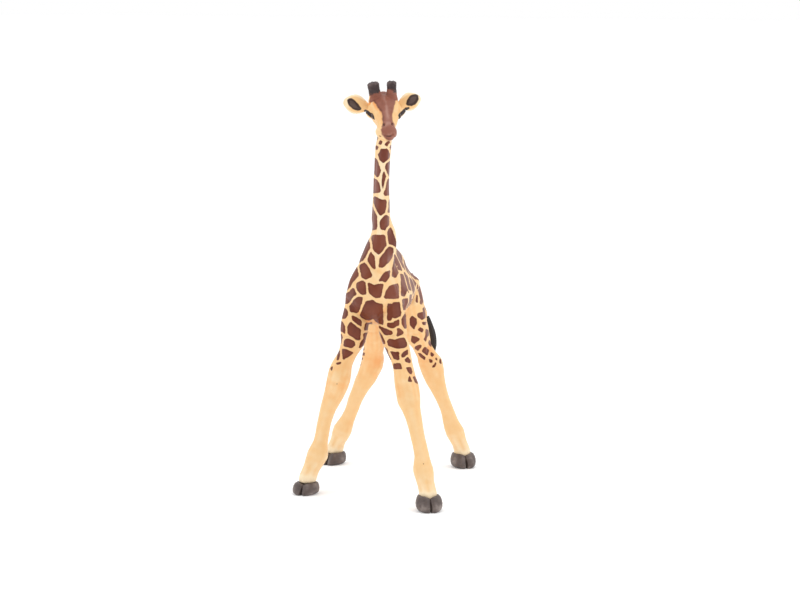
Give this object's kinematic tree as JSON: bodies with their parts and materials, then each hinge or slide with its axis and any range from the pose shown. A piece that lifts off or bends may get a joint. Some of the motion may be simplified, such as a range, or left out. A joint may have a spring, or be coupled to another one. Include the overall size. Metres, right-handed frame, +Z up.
{
  "type": "toy wild animal figure",
  "caption": "Hand-painted vinyl giraffe calf figure standing with splayed legs and a raised head, for display and pretend play",
  "frame": {"origin": "Middle of the figure's outline, on the surface that the four hooves stand on", "axes": "+Z is up, the figure faces -Y, and +X is the figure's left"},
  "size_m": [0.047, 0.0744, 0.119],
  "materials": {
    "spotted_coat": "red-brown spots with narrow cream lines between them, hand-painted on vinyl, satin",
    "plain_coat": "cream to tan paint with a soft orange airbrush, satin",
    "horn": "red-brown at the foot, near black and tufted at the tip",
    "hoof": "dark grey-brown paint, satin",
    "tuft": "near-black paint over carved strands of hair"
  },
  "bodies": {
    "root": {"torso": "spotted_coat", "neck": "spotted_coat", "head": "plain_coat", "left_ear": "plain_coat", "right_ear": "plain_coat", "left_horn": "horn", "right_horn": "horn", "front_left_leg": "plain_coat", "front_right_leg": "plain_coat", "rear_left_leg": "plain_coat", "rear_right_leg": "plain_coat", "front_left_hoof": "hoof", "front_right_hoof": "hoof", "rear_left_hoof": "hoof", "rear_right_hoof": "hoof", "tail": "plain_coat", "tail_tuft": "tuft"}
  },
  "joints": []
}
